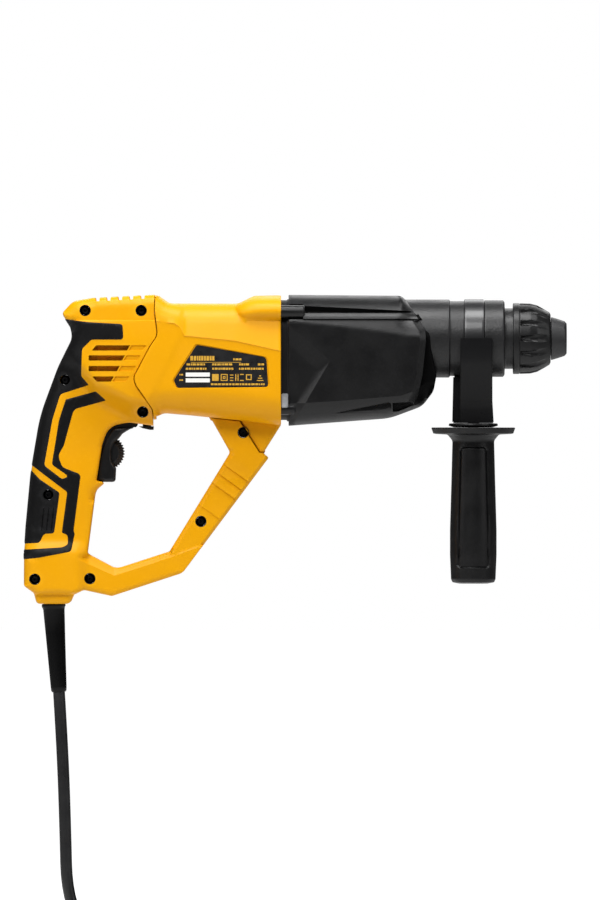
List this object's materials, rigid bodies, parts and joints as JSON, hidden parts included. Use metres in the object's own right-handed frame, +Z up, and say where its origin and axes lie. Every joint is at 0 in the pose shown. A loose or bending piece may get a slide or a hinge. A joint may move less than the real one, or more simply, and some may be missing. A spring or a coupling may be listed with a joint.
{
  "type": "rotary hammer",
  "caption": "Corded rotary hammer with a D-handle, a quick-change chuck, an auxiliary side handle and a mains lead coiled below, held by its main grip.",
  "frame": {"origin": "centre of the main grip, on the plane where the handle shells meet", "axes": "+X along the spindle towards the tool, +Z up from the side handle's grip to the spindle, +Y to the tool's left side"},
  "size_m": [0.3797, 0.1646, 0.4754],
  "materials": {
    "yellow_plastic": "fine-textured moulded plastic, satin",
    "black_plastic": "fine-textured moulded plastic, matt",
    "grip_plastic": "fine-textured moulded plastic, matt",
    "soft_rubber": "soft-touch moulded rubber",
    "seal_rubber": "moulded rubber",
    "cord_rubber": "extruded rubber, satin",
    "dark_plastic": "moulded plastic",
    "gloss_black": "black gloss coated steel band",
    "label_film": "printed film",
    "dark_screws": "black oxide",
    "steel": "machined",
    "bearing_steel": "ground",
    "lamination_steel": "stacked laminations",
    "cast_aluminium": "die cast",
    "copper": "enamelled copper",
    "brass": "plain",
    "carbon": "carbon",
    "nickel_brass": "nickel plated brass"
  },
  "bodies": {
    "housing": {"motor_housing": "yellow_plastic", "handle_shell_right": "yellow_plastic", "handle_shell_left": "yellow_plastic", "grip_overmould_right": "soft_rubber", "grip_overmould_left": "soft_rubber", "handle_screws": "dark_screws", "gear_cover": "black_plastic", "intermediate_flange": "cast_aluminium", "front_barrel": "black_plastic", "rating_label": "label_film", "gear_case_screws": "steel", "motor_rear_bracket": "dark_plastic", "stator_core": "lamination_steel", "stator_windings": "copper", "brush_holders": "brass", "carbon_brushes": "carbon", "motor_rear_bearing": "bearing_steel", "motor_front_bearing": "bearing_steel", "intermediate_rear_bearing": "bearing_steel", "intermediate_front_bearing": "bearing_steel", "spindle_bush": "brass", "spindle_front_bearing": "bearing_steel", "spindle_seal": "seal_rubber", "switch_body": "dark_plastic", "strain_relief": "cord_rubber", "power_cord": "cord_rubber", "cord_coil": "cord_rubber", "plug_body": "cord_rubber", "plug_pins": "nickel_brass"},
    "armature": {"armature_shaft": "steel", "armature_core": "lamination_steel", "armature_windings": "copper", "commutator": "copper", "cooling_fan": "dark_plastic"},
    "countershaft": {"intermediate_shaft": "steel", "intermediate_gear": "steel", "wobble_hub": "steel"},
    "shift_sleeve": {"shift_sleeve": "steel"},
    "wobble_ring": {"wobble_ring": "steel"},
    "piston": {"piston": "cast_aluminium"},
    "striker": {"striker": "steel"},
    "impact_bolt": {"impact_bolt": "steel"},
    "spindle": {"spindle": "steel", "spindle_gear": "steel", "dust_cap": "seal_rubber", "lock_spring": "steel"},
    "locking_sleeve": {"lock_ring": "steel", "locking_sleeve": "black_plastic"},
    "ball_upper": {"locking_ball_upper": "bearing_steel"},
    "ball_lower": {"locking_ball_lower": "bearing_steel"},
    "side_handle": {"clamp_band": "gloss_black", "side_handle_yoke": "black_plastic", "side_handle_disc": "black_plastic"},
    "side_grip": {"side_handle_grip": "grip_plastic", "side_handle_bolt": "steel"},
    "trigger": {"trigger": "black_plastic"},
    "speed_dial": {"speed_dial": "black_plastic"},
    "reversing_lever": {"reversing_lever": "black_plastic"},
    "mode_knob": {"mode_knob": "black_plastic"},
    "mode_button": {"mode_button": "dark_plastic"}
  },
  "joints": [
    {"name": "armature_spin", "type": "hinge", "parent": "housing", "child": "armature", "pos_m": [0.1, 0, 0.066], "axis": [1, 0, 0], "continuous": true},
    {"name": "countershaft_spin", "type": "hinge", "parent": "housing", "child": "countershaft", "pos_m": [0.19, 0, 0.047], "axis": [1, 0, 0], "continuous": true},
    {"name": "spindle_spin", "type": "hinge", "parent": "housing", "child": "spindle", "pos_m": [0.26, 0, 0.08], "axis": [1, 0, 0], "continuous": true},
    {"name": "wobble_tilt", "type": "hinge", "parent": "housing", "child": "wobble_ring", "pos_m": [0.186, 0, 0.047], "axis": [0, 1, 0], "range_deg": [-11.4, 11.4]},
    {"name": "piston_slide", "type": "slide", "parent": "housing", "child": "piston", "axis": [1, 0, 0], "range_m": [-0.0066, 0.0066]},
    {"name": "striker_slide", "type": "slide", "parent": "housing", "child": "striker", "axis": [1, 0, 0], "range_m": [0, 0.0115]},
    {"name": "impact_bolt_slide", "type": "slide", "parent": "housing", "child": "impact_bolt", "axis": [1, 0, 0], "range_m": [0, 0.005]},
    {"name": "shift_sleeve_slide", "type": "slide", "parent": "housing", "child": "shift_sleeve", "axis": [1, 0, 0], "range_m": [-0.0026, 0.0026]},
    {"name": "mode_knob_turn", "type": "hinge", "parent": "housing", "child": "mode_knob", "pos_m": [0.202, 0.04, 0.0503], "axis": [0, 1, 0], "range_deg": [-45, 45]},
    {"name": "mode_button_press", "type": "slide", "parent": "mode_knob", "child": "mode_button", "axis": [0, -1, 0], "range_m": [0, 0.002], "stiffness_N_per_m": 900, "springref_m": -0.001},
    {"name": "sleeve_pull", "type": "slide", "parent": "spindle", "child": "locking_sleeve", "axis": [-1, 0, 0], "range_m": [0, 0.005], "stiffness_N_per_m": 2500, "springref_m": -0.004, "deforming": ["lock_spring"]},
    {"name": "ball_upper_lift", "type": "slide", "parent": "spindle", "child": "ball_upper", "axis": [0, 0, 1], "range_m": [0, 0.0015]},
    {"name": "ball_lower_lift", "type": "slide", "parent": "spindle", "child": "ball_lower", "axis": [0, 0, -1], "range_m": [0, 0.0015]},
    {"name": "trigger_pull", "type": "hinge", "parent": "housing", "child": "trigger", "pos_m": [0.0415, 0, 0.0155], "axis": [0, 1, 0], "range_deg": [0, 6], "stiffness_Nm_per_rad": 0.6, "springref_deg": -6.88},
    {"name": "speed_dial_turn", "type": "hinge", "parent": "trigger", "child": "speed_dial", "pos_m": [0.0282, 0, 0.001], "axis": [0, 1, 0], "range_deg": [-120, 120]},
    {"name": "reversing_lever_swing", "type": "hinge", "parent": "housing", "child": "reversing_lever", "pos_m": [0.056, 0, 0.018], "axis": [0, 0, 1], "range_deg": [-12, 12]},
    {"name": "side_handle_turn", "type": "hinge", "parent": "housing", "child": "side_handle", "pos_m": [0.2844, 0, 0.08], "axis": [1, 0, 0], "continuous": true},
    {"name": "side_grip_turn", "type": "hinge", "parent": "side_handle", "child": "side_grip", "pos_m": [0.2844, 0, -0.02], "axis": [0, 0, 1], "continuous": true}
  ],
  "couplings": [
    {"joint": "countershaft_spin", "follows": "armature_spin", "ratio": -0.26667},
    {"joint": "spindle_spin", "follows": "armature_spin", "ratio": 0.1},
    {"joint": "wobble_tilt", "follows": "piston_slide", "rad_per_m": 30},
    {"joint": "shift_sleeve_slide", "follows": "mode_knob_turn", "m_per_rad": -0.0033},
    {"joint": "ball_upper_lift", "follows": "sleeve_pull", "ratio": 0.3},
    {"joint": "ball_lower_lift", "follows": "sleeve_pull", "ratio": 0.3}
  ]
}
